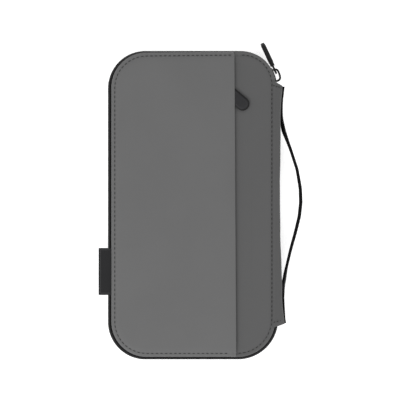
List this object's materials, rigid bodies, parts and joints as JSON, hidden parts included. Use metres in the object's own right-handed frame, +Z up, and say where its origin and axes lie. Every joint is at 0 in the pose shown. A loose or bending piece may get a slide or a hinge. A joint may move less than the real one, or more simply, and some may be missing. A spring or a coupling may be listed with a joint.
{
  "type": "passport holder wallet",
  "caption": "Tall zip-around passport and document wallet in grey coated fabric, with a flap-covered front zip pocket, a fold-flat spine and a flat wrist strap.",
  "frame": {"origin": "on the back cover's outer face, beside its middle, where the wallet rests when it lies on its back", "axes": "+X across the wallet towards the spine, +Y up its long side towards the end where the zip is parked, +Z up through its thickness to the front pocket"},
  "size_m": [0.15, 0.235, 0.0246],
  "materials": {
    "coated_fabric": "matt coated fabric",
    "flap_fabric": "matt coated fabric",
    "lining": "fine woven lining",
    "board": "plain stiffener sheet",
    "foam": "closed-cell foam",
    "zip_tape": "woven herringbone tape",
    "webbing": "smooth flat strap",
    "woven_label": "woven label",
    "zip_teeth": "nylon coil",
    "black_metal": "black coated, satin"
  },
  "bodies": {
    "back": {"back_cover": "coated_fabric", "back_board": "board", "back_lining": "lining", "ticket_pocket": "lining", "passport_pocket": "lining", "pen_loop": "zip_tape", "zip_tape_back": "zip_tape", "zip_teeth_back": "zip_teeth", "zip_stop_bottom": "black_metal", "zip_stop_top": "black_metal"},
    "spine": {"spine_panel": "coated_fabric", "spine_lining": "lining", "strap_end_top": "webbing", "strap_end_bottom": "webbing"},
    "front": {"front_cover": "coated_fabric", "front_board": "board", "front_lining": "lining", "note_pocket": "lining", "card_slot_1": "lining", "card_slot_2": "lining", "card_slot_3": "lining", "card_slot_4": "lining", "card_slot_5": "lining", "front_pocket_flap": "flap_fabric", "flap_foam": "foam", "pocket_bag": "lining", "pocket_tape_left": "zip_tape", "pocket_tape_right": "zip_tape", "pocket_teeth_left": "zip_teeth", "pocket_teeth_right": "zip_teeth", "pocket_stop_top": "black_metal", "pocket_stop_bottom": "black_metal", "zip_tape_front": "zip_tape", "zip_teeth_front": "zip_teeth", "side_label": "woven_label"},
    "main_slider": {"main_slider": "black_metal"},
    "main_pull": {"main_pull": "black_metal"},
    "pocket_slider": {"pocket_slider": "black_metal"},
    "pocket_pull": {"pocket_pull": "black_metal"},
    "strap": {"wrist_strap": "webbing"}
  },
  "joints": [
    {"name": "spine_fold", "type": "hinge", "parent": "back", "child": "spine", "pos_m": [0.0597, 0, 0.004], "axis": [0, 1, 0], "range_deg": [0, 90]},
    {"name": "cover_fold", "type": "hinge", "parent": "spine", "child": "front", "pos_m": [0.0597, 0, 0.0206], "axis": [0, 1, 0], "range_deg": [0, 90]},
    {"name": "main_slider_run", "type": "hinge", "parent": "back", "child": "main_slider", "pos_m": [0.0336, 0.088, 0.0097], "axis": [0, 0, -1], "range_deg": [-56, 0]},
    {"name": "main_pull_swing", "type": "hinge", "parent": "main_slider", "child": "main_pull", "pos_m": [0.06011, 0.09818, 0.0097], "axis": [0, 0, 1], "range_deg": [-100, 0]},
    {"name": "pocket_slider_run", "type": "slide", "parent": "front", "child": "pocket_slider", "axis": [0, -1, 0], "range_m": [0, 0.172]},
    {"name": "pocket_pull_swing", "type": "hinge", "parent": "pocket_slider", "child": "pocket_pull", "pos_m": [0.0198, 0.0877, 0.0223], "axis": [0, 0, 1], "range_deg": [-50, 12]},
    {"name": "strap_swing", "type": "hinge", "parent": "spine", "child": "strap", "pos_m": [0.06624, 0, 0.0097], "axis": [0, -1, 0], "range_deg": [-20, 90]}
  ],
  "couplings": [
    {"joint": "cover_fold", "follows": "spine_fold", "ratio": 1}
  ]
}
